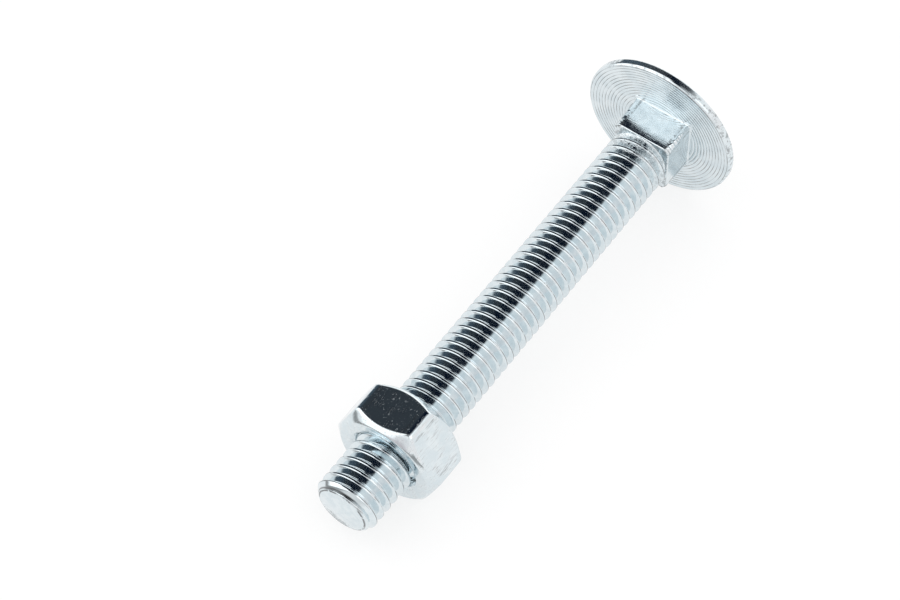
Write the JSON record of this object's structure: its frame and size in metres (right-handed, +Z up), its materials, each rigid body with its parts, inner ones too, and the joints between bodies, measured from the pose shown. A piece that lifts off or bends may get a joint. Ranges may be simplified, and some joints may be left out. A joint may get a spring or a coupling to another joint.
{
  "type": "carriage bolt",
  "caption": "Fully threaded carriage bolt with a smooth domed head and a square neck, in bright zinc, with its hex nut run most of the way to the point.",
  "frame": {"origin": "on the surface the bolt lies on, under the middle of its box", "axes": "+X from the head to the point, +Z up from the surface; the bolt's own axis dips by 3.74 degrees from +X towards the point, because it lies on the rim of its head and on one flat of the nut, and it stands 0.55 mm to the +Y side of the middle of the head"},
  "size_m": [0.0686, 0.0202, 0.0202],
  "materials": {
    "zinc": "bright electroplated zinc over steel"
  },
  "bodies": {
    "bolt": {"bolt": "zinc"},
    "nut": {"hex_nut": "zinc"}
  },
  "joints": [
    {"name": "nut_travel", "type": "slide", "parent": "bolt", "child": "nut", "axis": [0.9979, 0, -0.0653], "range_m": [-0.0425, 0.0125]}
  ]
}
